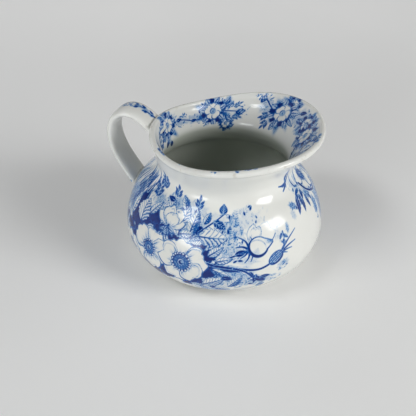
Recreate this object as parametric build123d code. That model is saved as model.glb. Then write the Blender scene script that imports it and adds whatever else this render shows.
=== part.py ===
from build123d import *
from math import cos, pi, radians, sin
import os

# Porcelain cream jug: a cast body, a strap handle and the two slip joints that lute them together.
# Frame: +Z up, +X towards the pouring lip, the handle at -X, the jug symmetric about the XZ plane.
# The origin is the centre of the foot ring, on the surface that the jug stands on. Millimetres.

# --- driving dimensions: body -------------------------------------------------------------------
WALL = 3.0                  # thickness of the cast wall

FOOT_RADIUS = 31.0          # outside of the foot ring
FOOT_RING_WIDTH = 3.4
FOOT_RECESS = 2.2           # depth of the hollow inside the foot ring
RECESS_TAPER = 1.2          # how much narrower the hollow is at its top

BELLY_RADIUS = 55.0         # the widest point of the jug
BELLY_Z = 23.0              # height of the widest point
BELLY_CORE_RADIUS = 33.5    # the belly's curve runs from this radius out to BELLY_RADIUS
UNDERSIDE_Z = 2.6           # lowest point of the belly's curve
SHOULDER_RISE = 31.8        # height of the shoulder's curve above BELLY_Z
LOWER_FULLNESS = 2.08       # superellipse exponents: 2 is a true ellipse, less is flatter
UPPER_FULLNESS = 1.71

THROAT_RADIUS = 36.4        # the narrowest point of the neck, outside
THROAT_Z = 58.0
THROAT_COVE = (2.4, -4.6)   # out and down from the throat to where the cove meets the shoulder
NECK_FLARE = 1.8            # how late the neck turns outwards: 1 is a straight cone

LIP_ROLL = 1.7              # radius of the rounded edge of the rim
RIM_POINTS = 24             # points round each section of the neck and the rim

# --- driving dimensions: handle -----------------------------------------------------------------
HANDLE_WIDTH = 15.5
HANDLE_THICKNESS = 4.2
HANDLE_SPREAD = 0.10        # how much wider the strap is at its two ends
STRAP_POINTS = 20           # points round each section of the strap
STRAP_SECTIONS = 15

# Centre line of the strap in the XZ plane: out from under the rim, over the top, down to the belly.
HANDLE_LINE = [
    (-35.5, 68.5),
    (-41.5, 74.3),
    (-47.8, 78.8),
    (-54.5, 79.7),
    (-60.2, 76.2),
    (-63.1, 69.5),
    (-62.7, 61.0),
    (-59.7, 52.5),
    (-55.4, 44.8),
    (-51.6, 38.6),
    (-48.6, 33.6),
]

SLIP_BEAD = 1.0             # how far the slip stands out round the ends of the handle
CROWN_RISE = 8.0            # flat top of the trimming solid, above the rim


# --- body ---------------------------------------------------------------------------------------
def rim_radius(angle):
    """Plan of the rim: round at the handle and drawn out wide towards the pouring lip."""
    return 45.4 + 6.4 * cos(angle) - 0.5 * cos(2 * angle) - 0.9 * cos(3 * angle)


def rim_height(angle):
    """Side view of the rim: lowest beside the handle and highest along the pouring lip."""
    return 76.3 + 3.2 * cos(angle) + 0.9 * cos(2 * angle) - 1.1 * cos(3 * angle)


def circle(radius, height):
    """A horizontal circle about the jug's axis."""
    return Wire([Edge.make_circle(radius, Plane((0, 0, height)))])


def around(radius_and_height):
    """A closed smooth wire, one turn about the jug's axis, through radius_and_height(angle)."""
    angles = [2 * pi * i / RIM_POINTS for i in range(RIM_POINTS)]
    points = []
    for angle in angles:
        radius, height = radius_and_height(angle)
        points.append(Vector(radius * cos(angle), radius * sin(angle), height))
    return Wire([Edge.make_spline(points, periodic=True, parameters=angles + [2 * pi])])


def belly_circle(latitude, inset):
    """The belly at a latitude in degrees: below 0 underneath, 0 the widest point, above it the shoulder."""
    rise = SHOULDER_RISE if latitude >= 0 else BELLY_Z - UNDERSIDE_Z
    power = 2 / (UPPER_FULLNESS if latitude >= 0 else LOWER_FULLNESS)
    out = cos(radians(abs(latitude))) ** power
    up = sin(radians(abs(latitude))) ** power
    radius = BELLY_CORE_RADIUS + (BELLY_RADIUS - BELLY_CORE_RADIUS - inset) * out
    height = BELLY_Z + (rise - inset) * up * (1 if latitude >= 0 else -1)
    return circle(radius, height)


def throat_circles(inset):
    """The cove between shoulder and neck, and the throat itself."""
    out, down = THROAT_COVE
    return [
        circle(THROAT_RADIUS + out - 0.85 * inset, THROAT_Z + down - 0.5 * inset),
        circle(THROAT_RADIUS - inset, THROAT_Z),
    ]


def neck_wire(share, throat_inset, rim_inset):
    """The neck at a share of the way up from the throat (0) to the rim (1)."""

    def section(angle):
        throat = THROAT_RADIUS - throat_inset
        rim = rim_radius(angle) - rim_inset
        return (
            throat + (rim - throat) * share**NECK_FLARE,
            THROAT_Z + (rim_height(angle) - THROAT_Z) * share,
        )

    return around(section)


def lip_wire(turn):
    """The rounded edge of the rim at a turn in degrees about its roll: 0 is outermost, 90 on top."""

    def section(angle):
        return (
            rim_radius(angle) - LIP_ROLL * (1 - cos(radians(turn))),
            rim_height(angle) + LIP_ROLL * sin(radians(turn)),
        )

    return around(section)


BELLY_LATITUDES = (-62, -40, -18, 0, 18, 36, 52)
NECK_SHARES = (0.35, 0.65, 0.88)


def outer_wires(grow=0.0):
    """The outside of the body from the foot ring to just under the rim, grown outwards by grow."""
    foot = [
        circle(FOOT_RADIUS - 0.6 + grow, 0),
        circle(FOOT_RADIUS + grow, 0.8),
        circle(FOOT_RADIUS + 0.6 + grow, 2.0),
        circle(FOOT_RADIUS + 3.4 + grow, 3.1),
    ]
    belly = [belly_circle(latitude, -grow) for latitude in BELLY_LATITUDES]
    neck = [neck_wire(share, -grow, -grow) for share in NECK_SHARES]
    return foot + belly + throat_circles(-grow) + neck


def inner_wires():
    """The inside of the body from just under the rim to the floor."""
    neck = [neck_wire(share, WALL, 2 * LIP_ROLL) for share in reversed(NECK_SHARES)]
    belly = [belly_circle(latitude, WALL) for latitude in reversed(BELLY_LATITUDES)]
    floor_z = UNDERSIDE_Z + WALL
    floor = [circle(BELLY_CORE_RADIUS - 4, floor_z + 0.25), circle(BELLY_CORE_RADIUS - 12, floor_z)]
    return neck + throat_circles(WALL)[::-1] + belly + floor


def make_body():
    """One closed shell: up the outside, over the rounded rim, down the inside and across the floor."""
    lip = [lip_wire(turn) for turn in (-35, 0, 45, 90, 135, 180)]
    shell = Solid.make_loft(outer_wires() + lip + inner_wires())
    recess_radius = FOOT_RADIUS - FOOT_RING_WIDTH
    recess = Solid.make_cone(recess_radius, recess_radius - RECESS_TAPER, FOOT_RECESS)
    return shell - recess


# --- handle -------------------------------------------------------------------------------------
def strap_wire(line, share, grow):
    """The strap's rounded section at a share of the way along its centre line."""
    spread = 1 + HANDLE_SPREAD * abs(2 * share - 1) ** 3
    half_width = HANDLE_WIDTH * spread / 2 + grow
    half_thickness = HANDLE_THICKNESS / 2 + grow
    plane = Plane(line.position_at(share), x_dir=Vector(0, 1, 0), z_dir=line.tangent_at(share))
    points = []
    for i in range(STRAP_POINTS):
        turn = 2 * pi * i / STRAP_POINTS
        across = abs(cos(turn)) ** 0.62 * (1 if cos(turn) >= 0 else -1)
        through = abs(sin(turn)) ** 0.86 * (1 if sin(turn) >= 0 else -1)
        points.append(plane.from_local_coords(Vector(half_width * across, half_thickness * through, 0)))
    return Wire([Edge.make_spline(points, periodic=True)])


def make_strap(grow=0.0):
    """The strap from inside the neck wall to inside the belly wall, before it is trimmed."""
    line = Edge.make_spline([Vector(x, 0, z) for x, z in HANDLE_LINE])
    shares = [i / (STRAP_SECTIONS - 1) for i in range(STRAP_SECTIONS)]
    return Solid.make_loft([strap_wire(line, share, grow) for share in shares])


def make_handle(strap, body):
    """The strap trimmed to the outside of the body; its ends in and behind the wall are dropped."""
    return max((strap - body).solids(), key=lambda solid: solid.volume)


def make_slip_joints(strap, body):
    """The slip squeezed out round the two ends of the strap, where it is near strap and body at once."""
    rim = neck_wire(1.0, -SLIP_BEAD, -SLIP_BEAD)
    crown = circle(THROAT_RADIUS, rim_height(0) + CROWN_RISE)
    skin = Solid.make_loft(outer_wires(SLIP_BEAD) + [rim, crown])
    beads = (make_strap(SLIP_BEAD) & skin) - strap - body
    outside = [bead for bead in beads.solids() if bead.center().X < -THROAT_RADIUS]
    largest = sorted(outside, key=lambda bead: -bead.volume)[:2]
    lower, upper = sorted(largest, key=lambda bead: bead.center().Z)
    return upper, lower


# --- the four pieces ----------------------------------------------------------------------------
body = make_body()
strap = make_strap()
upper_slip, lower_slip = make_slip_joints(strap, body)

os.makedirs("parts", exist_ok=True)
export_step(body, "parts/jug_body.step")
export_step(make_handle(strap, body), "parts/strap_handle.step")
export_step(upper_slip, "parts/upper_slip_joint.step")
export_step(lower_slip, "parts/lower_slip_joint.step")
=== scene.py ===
import math

import bpy
import numpy as np
from mathutils import Matrix, Vector
from mathutils.bvhtree import BVHTree


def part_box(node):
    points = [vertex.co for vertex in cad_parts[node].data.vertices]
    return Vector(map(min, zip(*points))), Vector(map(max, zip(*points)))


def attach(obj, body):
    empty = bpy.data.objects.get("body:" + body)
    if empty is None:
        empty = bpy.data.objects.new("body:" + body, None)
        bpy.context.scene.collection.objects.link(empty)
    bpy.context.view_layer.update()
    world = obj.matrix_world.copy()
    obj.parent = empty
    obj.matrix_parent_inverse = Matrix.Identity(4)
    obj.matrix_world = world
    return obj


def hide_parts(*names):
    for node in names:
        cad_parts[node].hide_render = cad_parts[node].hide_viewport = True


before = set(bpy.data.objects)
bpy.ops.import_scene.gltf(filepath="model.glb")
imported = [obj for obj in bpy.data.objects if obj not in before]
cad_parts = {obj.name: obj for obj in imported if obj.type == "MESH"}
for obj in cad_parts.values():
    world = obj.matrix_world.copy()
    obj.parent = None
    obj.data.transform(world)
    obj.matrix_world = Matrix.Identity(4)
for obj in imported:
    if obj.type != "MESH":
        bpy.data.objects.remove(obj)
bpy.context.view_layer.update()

MM = 0.001
rng = np.random.default_rng(11)

# ---- The jug's surface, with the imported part's own dimensions in millimetres
BELLY_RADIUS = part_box("jug_body")[1].y / MM
WALL = 3.0
FOOT_RADIUS = 31.0
FOOT_RING_WIDTH = 3.4
FOOT_RECESS = 2.2
RECESS_TAPER = 1.2
BELLY_Z = 23.0
BELLY_CORE_RADIUS = 33.5
UNDERSIDE_Z = 2.6
SHOULDER_RISE = 31.8
LOWER_FULLNESS = 2.08
UPPER_FULLNESS = 1.71
THROAT_RADIUS = 36.4
THROAT_Z = 58.0
THROAT_COVE = (2.4, -4.6)
NECK_FLARE = 1.8
LIP_ROLL = 1.7
RIM_RADIUS = (45.4, 6.4, -0.5, -0.9)    # the mean, and waves that come once, twice and three times a turn
RIM_HEIGHT = (76.3, 3.2, 0.9, -1.1)
HANDLE_WIDTH = 15.5
HANDLE_THICKNESS = 4.2
HANDLE_SPREAD = 0.10
HANDLE_LINE = [
    (-35.5, 68.5),
    (-41.5, 74.3),
    (-47.8, 78.8),
    (-54.5, 79.7),
    (-60.2, 76.2),
    (-63.1, 69.5),
    (-62.7, 61.0),
    (-59.7, 52.5),
    (-55.4, 44.8),
    (-51.6, 38.6),
    (-48.6, 33.6),
]

FOOT_STATIONS = 4           # stations of the wall below the belly's curve
BELLY_LATITUDES = (-62, -40, -18, 0, 18, 36, 52)
NECK_SHARES = (0.35, 0.65, 0.88)
LIP_TURNS = (-35, 0, 45, 90, 135, 180)
WIDEST = FOOT_STATIONS + BELLY_LATITUDES.index(0)
THROAT = FOOT_STATIONS + len(BELLY_LATITUDES) + 1
LIP_OUTSIDE = THROAT + len(NECK_SHARES) + 1
LIP_TOP = LIP_OUTSIDE + LIP_TURNS.index(90)


def round_rim(waves, angle):
    return sum(wave * np.cos(k * angle) for k, wave in enumerate(waves))


def belly_point(latitude, inset):
    rise = SHOULDER_RISE if latitude >= 0 else BELLY_Z - UNDERSIDE_Z
    power = 2 / (UPPER_FULLNESS if latitude >= 0 else LOWER_FULLNESS)
    out = math.cos(math.radians(abs(latitude))) ** power
    up = math.sin(math.radians(abs(latitude))) ** power
    radius = BELLY_CORE_RADIUS + (BELLY_RADIUS - BELLY_CORE_RADIUS - inset) * out
    return radius, BELLY_Z + (rise - inset) * up * (1 if latitude >= 0 else -1)


def stations(angle):
    """Radius and height of the wall's stations at each angle: up outside, over the lip and down inside."""
    rim_r, rim_z = round_rim(RIM_RADIUS, angle), round_rim(RIM_HEIGHT, angle)
    points = [
        (FOOT_RADIUS - 0.6, 0),
        (FOOT_RADIUS, 0.8),
        (FOOT_RADIUS + 0.6, 2.0),
        (FOOT_RADIUS + 3.4, 3.1),
    ]
    points += [belly_point(latitude, 0) for latitude in BELLY_LATITUDES]
    points += [(THROAT_RADIUS + THROAT_COVE[0], THROAT_Z + THROAT_COVE[1]), (THROAT_RADIUS, THROAT_Z)]
    for share in NECK_SHARES:
        radius = THROAT_RADIUS + (rim_r - THROAT_RADIUS) * share**NECK_FLARE
        points.append((radius, THROAT_Z + (rim_z - THROAT_Z) * share))
    for turn in np.radians(LIP_TURNS):
        points.append((rim_r - LIP_ROLL * (1 - np.cos(turn)), rim_z + LIP_ROLL * np.sin(turn)))
    inner_throat = THROAT_RADIUS - WALL
    for share in reversed(NECK_SHARES):
        radius = inner_throat + (rim_r - 2 * LIP_ROLL - inner_throat) * share**NECK_FLARE
        points.append((radius, THROAT_Z + (rim_z - THROAT_Z) * share))
    points.append((inner_throat, THROAT_Z))
    points.append((THROAT_RADIUS + THROAT_COVE[0] - 0.85 * WALL, THROAT_Z + THROAT_COVE[1] - 0.5 * WALL))
    points += [belly_point(latitude, WALL) for latitude in reversed(BELLY_LATITUDES)]
    floor_z = UNDERSIDE_Z + WALL
    points += [(BELLY_CORE_RADIUS - 4, floor_z + 0.25), (BELLY_CORE_RADIUS - 12, floor_z)]
    ones = np.ones_like(angle)
    return np.array([(radius * ones, height * ones) for radius, height in points])


def knots_of(points):
    """Shared knots of the stations, from the mean distance between neighbours."""
    steps = np.linalg.norm(np.diff(points, axis=0), axis=1)
    if steps.ndim > 1:
        steps = steps.mean(-1)
    return np.concatenate([[0], np.cumsum(steps)])


def spline(points, knots, at):
    """Natural cubic spline through points (n, ...) at knots, evaluated at the values in at."""
    n = len(points)
    gaps = np.diff(knots)
    system = np.eye(n)
    right = np.zeros(points.shape)
    for i in range(1, n - 1):
        system[i, i - 1 : i + 2] = gaps[i - 1], 2 * (gaps[i - 1] + gaps[i]), gaps[i]
        after = (points[i + 1] - points[i]) / gaps[i]
        before = (points[i] - points[i - 1]) / gaps[i - 1]
        right[i] = 6 * (after - before)
    bend = np.linalg.solve(system, right.reshape(n, -1)).reshape(points.shape)
    i = np.clip(np.searchsorted(knots, at, side="right") - 1, 0, n - 2)
    shape = (-1,) + (1,) * (points.ndim - 1)
    left = (knots[i + 1] - at).reshape(shape)
    past = (at - knots[i]).reshape(shape)
    gap = gaps[i].reshape(shape)
    curve = (bend[i] * left**3 + bend[i + 1] * past**3) / (6 * gap)
    curve = curve + (points[i] / gap - bend[i] * gap / 6) * left
    return curve + (points[i + 1] / gap - bend[i + 1] * gap / 6) * past


def wall_grid(angle, marks):
    """Radius and height (rows, columns) of the wall at each spline distance in marks."""
    points = stations(angle)
    grid = spline(points, knots_of(points), marks)
    return grid[:, 0], grid[:, 1]


# ---- Mesh helpers
def placed(name, data):
    """A new object in the scene."""
    thing = bpy.data.objects.new(name, data)
    bpy.context.scene.collection.objects.link(thing)
    return thing


def mesh_object(name, points, faces):
    """A mesh object from points in millimetres."""
    mesh = bpy.data.meshes.new(name)
    mesh.from_pydata((np.asarray(points, float) * MM).tolist(), [], faces)
    mesh.polygons.foreach_set("use_smooth", [True] * len(mesh.polygons))
    mesh.update()
    return placed(name, mesh)


def grid_faces(rows, columns, wrap_rows=False):
    """Quads of a grid whose columns close on themselves, and its rows too if wrap_rows."""
    last = rows if wrap_rows else rows - 1
    row = np.arange(last)[:, None]
    column = np.arange(columns)[None]
    after_row = (row + 1) % rows
    after_column = (column + 1) % columns
    corners = [
        row * columns + column,
        row * columns + after_column,
        after_row * columns + after_column,
        after_row * columns + column,
    ]
    return np.stack(np.broadcast_arrays(*corners), -1).reshape(-1, 4).tolist()


def add_field(piece, name, values):
    field = piece.data.attributes.new(name, "FLOAT", "POINT")
    field.data.foreach_set("value", np.asarray(values, np.float32).ravel())


# ---- The print: two fields laid over a surface, motif by motif
EDGE = 0.75                 # millimetres over which a stored edge runs from 0 to 1
TOOTH_BITE = 0.24           # depth of a leaf's teeth, as a share of its half width
DARK = None                 # the tone of a leaf of solid ink


def ramp(value, low, high):
    t = np.clip((value - low) / (high - low), 0, 1)
    return t * t * (3 - 2 * t)


def soft(distance, width=0.5):
    """A soft-edged mask that is 0.5 on an edge."""
    return np.clip(0.5 + distance / width, 0, 1)


def edge(distance):
    return soft(distance, EDGE)


class Plate:
    """The print on a band of surface: line holds drawn ink as a soft-edged field, wash the half tone."""

    def __init__(self, angle, along, scale, mirror=1):
        self.angle = angle
        self.along = along
        self.scale = scale
        self.mirror = mirror
        self.line = np.zeros(along.shape)
        self.wash = np.zeros(along.shape)
        self.row_along = along.mean(1)
        self.row_scale = scale.mean(1)
        self.spin = 0

    def near(self, theta, height, reach):
        """The window of points near a place, and their millimetres to the right of it and above it."""
        rows = np.flatnonzero(np.abs(self.row_along - height) < reach + 1.5)
        turn = (self.angle - theta - self.spin + 180) % 360 - 180
        widest = self.scale[rows].min() if len(rows) else 1
        columns = np.flatnonzero(np.abs(turn) * widest < reach)
        pick = np.ix_(rows, columns)
        return pick, self.mirror * turn[columns] * self.scale[pick], self.along[pick] - height

    def lay(self, pick, cover, line, wash):
        """Covers what is there inside cover, and draws line and wash on it. Distances are positive inside."""
        share = edge(cover)
        self.line[pick] = np.maximum(np.minimum(self.line[pick], 1 - share), np.minimum(edge(line), share))
        self.wash[pick] = self.wash[pick] * (1 - share) + wash * share

    def per_degree(self, height):
        """Millimetres to a degree at a height."""
        return float(np.interp(height, self.row_along[:: self.mirror], self.row_scale[:: self.mirror]))

    def step(self, theta, height, x, y):
        """The place that is x to the right of another and y above it."""
        return theta + self.mirror * x / self.per_degree(height), height + y

    def ahead(self, theta, height, heading, forward, side=0.0):
        """The place that is forward of another along a heading, and side to the left of that line."""
        c, s = math.cos(math.radians(heading)), math.sin(math.radians(heading))
        return self.step(theta, height, forward * c - side * s, forward * s + side * c)

    def tint(self, pick, strength):
        self.wash[pick] = np.maximum(self.wash[pick], strength)


def turned(x, y, heading):
    """Distance along a heading in degrees, counter-clockwise from the right, and across it."""
    c, s = math.cos(math.radians(heading)), math.sin(math.radians(heading))
    return x * c + y * s, y * c - x * s


def leaf_shape(along, across, length, width, teeth):
    """Signed distance into a pointed leaf from 0 to length, with toothed edges."""
    share = np.clip(along / length, 0, 1)
    profile = np.sin(math.pi * share**0.8) ** 0.85
    tooth = 1 - TOOTH_BITE * ((share * teeth) % 1) if teeth else 1
    half = width * profile * tooth
    beyond = np.maximum(-along, along - length)
    return np.where(beyond > 0, -beyond - np.abs(across) * 0.3, (half - np.abs(across)) * 0.9)


def near_line(x, y, points):
    """Distance to a smooth line through points, and the share of the way along it."""
    points = np.array(points, float)
    if len(points) > 2:
        knots = knots_of(points)
        points = spline(points, knots, np.linspace(0, knots[-1], 5 * len(points)))
    best = np.full(x.shape, 1e9)
    share = np.zeros(x.shape)
    total = len(points) - 1
    for i in range(total):
        (ax, ay), (bx, by) = points[i], points[i + 1]
        dx, dy = bx - ax, by - ay
        t = np.clip(((x - ax) * dx + (y - ay) * dy) / (dx * dx + dy * dy + 1e-9), 0, 1)
        gap = np.hypot(x - ax - t * dx, y - ay - t * dy)
        closer = gap < best
        best = np.where(closer, gap, best)
        share = np.where(closer, (i + t) / total, share)
    return best, share


def stroke(plate, places, width, taper, margin, tone=0.0, pale=0.0):
    """A line through places that thins out to the share taper of its width. pale draws it in half tone."""
    theta, height = places[0]
    reach = max(abs(t - theta) for t, _ in places) * plate.scale.max()
    span = reach + max(abs(h - height) for _, h in places)
    pick, x, y = plate.near(theta, height, span + 2)
    points = [(plate.mirror * (t - theta) * plate.per_degree(h), h - height) for t, h in places]
    gap, share = near_line(x, y, points)
    half = width / 2 * (1 - (1 - taper) * share)
    if pale:
        plate.tint(pick, pale * soft(half - gap))
    else:
        plate.lay(pick, half + margin - gap, half - gap, tone)


def feather(plate, theta, height, heading, length, width=0.5, bow=0.1, pale=0.0):
    """One curved stroke from a place."""
    places = [
        plate.ahead(theta, height, heading, length * share, bow * length * math.sin(math.pi * share))
        for share in (0.0, 0.5, 1.0)
    ]
    stroke(plate, places, width, 0.3, 0.12, 0.2, pale)


def leaf(plate, theta, height, heading, length, width, teeth, tone=0.3, fold=0.0, bend=0.0):
    """A leaf centred on a place: white, veined and shaded with tone, or solid with white veins for DARK."""
    pick, x, y = plate.near(theta, height, length * 0.62 + 1)
    along, across = turned(x, y, heading)
    along = along + length / 2
    share = np.clip(along / length, 0, 1)
    across = across - bend * np.sin(math.pi * share)
    inside = leaf_shape(along, across, length, width, teeth)
    off = np.abs(across)
    midrib = 0.25 * (1.25 - share) - off
    pitch = length / max(teeth, 5)
    turn = ((along - 1.1 * off + 0.09 * off * off) / pitch + 0.08 * np.sin(along * 1.9 + theta)) % 1
    vein = (0.20 - 0.13 * off / width) - np.minimum(turn, 1 - turn) * pitch * 0.70
    vein = np.where(share < 0.90, np.minimum(vein, inside - 0.25), -1)
    if tone is DARK:
        open_lines = np.maximum(midrib - 0.05, vein - 0.02) if width > 1.7 else midrib - 0.12
        plate.lay(pick, inside + 0.1, np.minimum(inside, -open_lines), 0.25)
        return
    big = width > 3.0
    lower = ramp(-across / width, -0.05, 0.10)
    drawn = np.maximum(midrib, (0.06 + 0.14 * lower) - np.abs(inside + 0.05))
    if big:
        drawn = np.maximum(drawn, np.where(off < width * 0.22 * lower, vein, -1))
    lobes = (1 - ramp(turn, 0.05, 0.60)) * (0.35 + 0.65 * lower) * ramp(off / width, 0.0, 0.5)
    wash = tone * (1.1 * lobes + 0.45 * lower + 0.15) + 0.50 * soft(vein + 0.05, 0.35)
    wash = wash + fold * 0.5 * lower * ramp(off / width, 0.1, 0.6)
    plate.lay(pick, inside + 0.24, drawn, np.where(inside > 0.15, np.clip(wash, 0, 0.95), 0.2))


def dark_leaf(plate, theta, height, heading, length, width, teeth=0):
    leaf(plate, theta, height, heading, length, width, teeth, DARK)


def petal_shape(along, across, length, width, phase, ruffle):
    """Signed distance into a petal that is narrow at its base and has a notched, ruffled tip."""
    side = across / width
    waves = np.sin(side * 4.4 + phase) + 0.5 * np.sin(side * 8.5 + 2 * phase)
    waves = waves + 0.3 * np.sin(side * 17 + phase)
    notch = 0.08 * np.exp(-((side - 0.1 * math.sin(phase)) / 0.24) ** 2)
    reach = length * (1 - notch + ruffle * waves)
    share = along / reach
    grown = width * (0.32 + 0.68 * ramp(share, 0.0, 0.58))
    beyond = np.maximum(share - 0.48, 0) / 0.52
    size = (np.abs(across / grown) ** 2.5 + beyond**2.5) ** (1 / 2.5)
    inside = (1 - size) * min(length * 0.5, width)
    return np.where(along < 0, np.minimum(along, grown - np.abs(across)), inside)


def petal(plate, theta, height, heading, length, width, tone, start, ruffle, dark_edge, firm=0.78):
    """A white petal with its base at a place: a soft outline, strokes from its base and a turned edge."""
    pick, x, y = plate.near(theta, height, length * 1.15 + 1)
    phase = math.radians(heading) * 3 + theta
    along, across = turned(x, y, heading)
    side = across / width
    share = along / length
    inside = petal_shape(along, across, length, width, phase, ruffle)
    fan = np.degrees(np.arctan2(across, along + 0.12 * length))
    combed = 0.5 + 0.5 * np.cos(fan * 0.62 + phase) * np.cos(fan * 0.23 + 1.7 * phase)
    base = combed * (1 - ramp(share, start + 0.10, start + 0.42 + 0.10 * np.sin(fan * 0.21 + phase)))
    shaded = ramp(-side * math.cos(phase) - 0.2, 0.15, 0.95) * (0.45 + 0.55 * combed)
    curl = soft(0.24 - np.abs(inside - length * (0.085 + 0.03 * np.sin(side * 3.1 + phase))), 0.45)
    curl = curl * ramp(np.sin(side * 2.3 + phase * 1.3), -0.1, 0.5)
    cusp = soft(0.3 - np.abs(across - 0.1 * width * math.sin(phase) - 0.10 * along), 0.5)
    cusp = cusp * ramp(share, 0.55, 0.9)
    outline = soft(0.26 - np.abs(inside), 0.35)
    wash = np.clip(tone * (1.5 * base + 0.9 * shaded + 0.9 * curl + 0.5 * cusp), 0, 0.75)
    wash = np.where(inside > -0.25, np.maximum(wash, firm * outline), 0)
    downward = -np.sin(np.radians(heading)) * share - side * np.cos(np.radians(heading))
    under = (0.10 + dark_edge) * ramp(downward, -0.2, 0.6)
    drawn = np.where(under > 0.03, under + 0.08 - np.abs(inside + 0.05), -1)
    plate.lay(pick, inside + 0.26, drawn, wash)


def rose_heart(plate, theta, height, size, tone):
    """The stippled disc of stamens in a scalloped ring, with the pistil in its middle."""
    pick, x, y = plate.near(theta, height, size * 1.2 + 1)
    out = np.hypot(x, y)
    turn = np.degrees(np.arctan2(y, x))
    count = max(9, round(size * 3.4))
    lump = np.cos(np.radians(turn) * count + 1.5 * np.sin(np.radians(turn) * 3))
    ring = size * (0.98 + 0.05 * lump + 0.04 * np.sin(np.radians(turn) * 5 + theta))
    lit = 0.5 + 0.5 * np.cos(np.radians(turn - 135))
    band = np.minimum(out - 0.76 * ring, ring - out)
    notch = np.minimum(0.20 - (lump + 0.62) * size * 0.13, band + 0.15)
    rim_line = 0.12 + 0.20 * lit - np.abs(out - 0.76 * size)
    outer_line = 0.10 + 0.14 * lit - np.abs(out - ring)
    spots = np.cos(np.radians(turn) * count * 0.8) * np.cos(math.pi * out / (0.17 * size))
    inner = np.where(out < 0.70 * size, (spots - 0.55) * 0.5, -1)
    eye = 0.14 + 0.12 * lit - np.abs(out - size * 0.38)
    crescent = np.minimum(size * 0.22 - out, np.hypot(x - size * 0.10, y - size * 0.08) - size * 0.13)
    drawn = np.maximum.reduce([notch, rim_line, outer_line, inner, eye, crescent])
    if size < 3:
        drawn = np.maximum(rim_line - 0.12, crescent)
    wash = np.where(out < size * 0.36, 0.30 + 0.30 * (1 - lit), np.where(out < size * 0.74, tone, 0.20))
    plate.lay(pick, ring - out + 0.2, drawn, wash)


def rose(plate, theta, height, size, tilt=90.0, spread=1.0, small=False, heart=0.42, dark_edge=0.0):
    """A wild rose seen from the front."""
    width = size * 0.56 * spread
    for k in (0, 2, 4, 1, 3):
        jitter = 7 * math.sin(k * 2.1 + theta)
        reach = size * (1 + 0.06 * math.sin(k * 3.7 + height))
        petal(plate, theta, height, tilt + 72 * k + jitter, reach, width, 0.25 if small else 0.50, 0.24,
              0.02 if small else 0.055, dark_edge)
    rose_heart(plate, theta, height, size * heart, 0.5 if small else 0.74)


def bloom(plate, theta, height, size, heading):
    """A half-open rose seen from the side: cupped petals over a calyx."""
    base = plate.step(theta, height, 0, -0.5 * size)
    for swing, reach, wide in ((-48, 1.0, 0.55), (46, 1.05, 0.55), (-20, 1.15, 0.6), (20, 1.12, 0.6)):
        petal(plate, *base, heading + swing, size * 1.45 * reach, size * wide, 0.55, 0.15, 0.045, 0.05)
    base = plate.step(theta, height, 0, -0.55 * size)
    petal(plate, *base, heading - 6, size * 1.18, size * 0.62, 0.42, 0.1, 0.05, 0.06)
    for swing, reach in ((-62, 0.9), (-28, 0.75), (8, 0.8), (40, 0.95), (74, 0.7)):
        spot = plate.step(theta, height, 0.35 * size * math.sin(math.radians(swing)), -0.72 * size)
        leaf(plate, *spot, heading + 180 + swing, size * reach, size * 0.15, 0, tone=0.2)


def small_sprig(plate, theta, height, heading, length, pairs, size, tone=DARK):
    """A short stem with pairs of leaflets and one at its tip."""

    def place(share, side=0.0):
        return plate.ahead(theta, height, heading, share * length, side)

    stroke(plate, [place(0), place(0.5, 0.06 * length), place(1)], 0.5, 0.4, 0.1)
    for k in range(pairs):
        share = (k + 0.7) / (pairs + 0.4)
        for side in (-1, 1):
            spot = place(share + 0.05 * side, side * size * 0.55)
            facing = heading + side * rng.uniform(30, 52)
            leaf(plate, *spot, facing, size * rng.uniform(0.95, 1.35), size * 0.24, 0, tone)
    leaf(plate, *place(1.0 + 0.3 * size / length), heading, size * 1.3, size * 0.26, 0, tone)


def cloud(plate, theta, height, wide, tall, tone, ragged=0.25):
    """A soft patch of half tone."""
    pick, x, y = plate.near(theta, height, max(wide, tall) * 1.3)
    turn = np.arctan2(y / tall, x / wide)
    size = np.hypot(x / wide, y / tall) * (1 + ragged * np.sin(turn * 3 + theta) * np.cos(turn * 5 + height))
    plate.tint(pick, tone * (1 - ramp(size, 0.45, 1.05)))


def ground(plate, theta, height, wide, tall, heading):
    """A patch of solid dark ground between the flowers, with a combed edge."""
    pick, x, y = plate.near(theta, height, max(wide, tall) * 1.2 + 1)
    along, across = turned(x, y, heading)
    turn = np.arctan2(across, along)
    rough = 0.11 * np.sin(turn * 4 + theta) + 0.06 * np.sin(turn * 11 + height) + 0.05 * np.sin(turn * 23)
    size = np.hypot(along / wide, across / tall) * (1 + rough)
    inside = (1 - size) * min(wide, tall)
    plate.lay(pick, inside, inside, 0.5)
    plate.tint(pick, 0.75 * soft(inside + 0.5, 1.6))


def foliage(plate, theta, height, wide, tall, count, heading, tone, size=2.4, inked=0.05, swing=30):
    """A loose mass of small leaves in half tone, with a few drawn ones."""
    for _ in range(count):
        reach = size * rng.uniform(0.55, 1.3)
        spin = rng.uniform(0, math.tau)
        far = math.sqrt(rng.uniform(0, 1))
        facing = heading + rng.normal(0, swing)
        strength = min(0.95, tone * rng.uniform(0.5, 1.35) * (1 - 0.40 * far))
        drawn = rng.uniform() < inked
        spot = plate.step(theta, height, wide * far * math.cos(spin), tall * far * math.sin(spin))
        pick, u, v = plate.near(*spot, reach)
        along, across = turned(u, v, facing)
        blade = leaf_shape(along + reach / 2, across + 0.06 * along * along, reach, reach * 0.22, 0)
        if drawn:
            plate.line[pick] = np.maximum(plate.line[pick], edge(blade - 0.08))
        plate.tint(pick, strength * soft(blade, 0.4))


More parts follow.
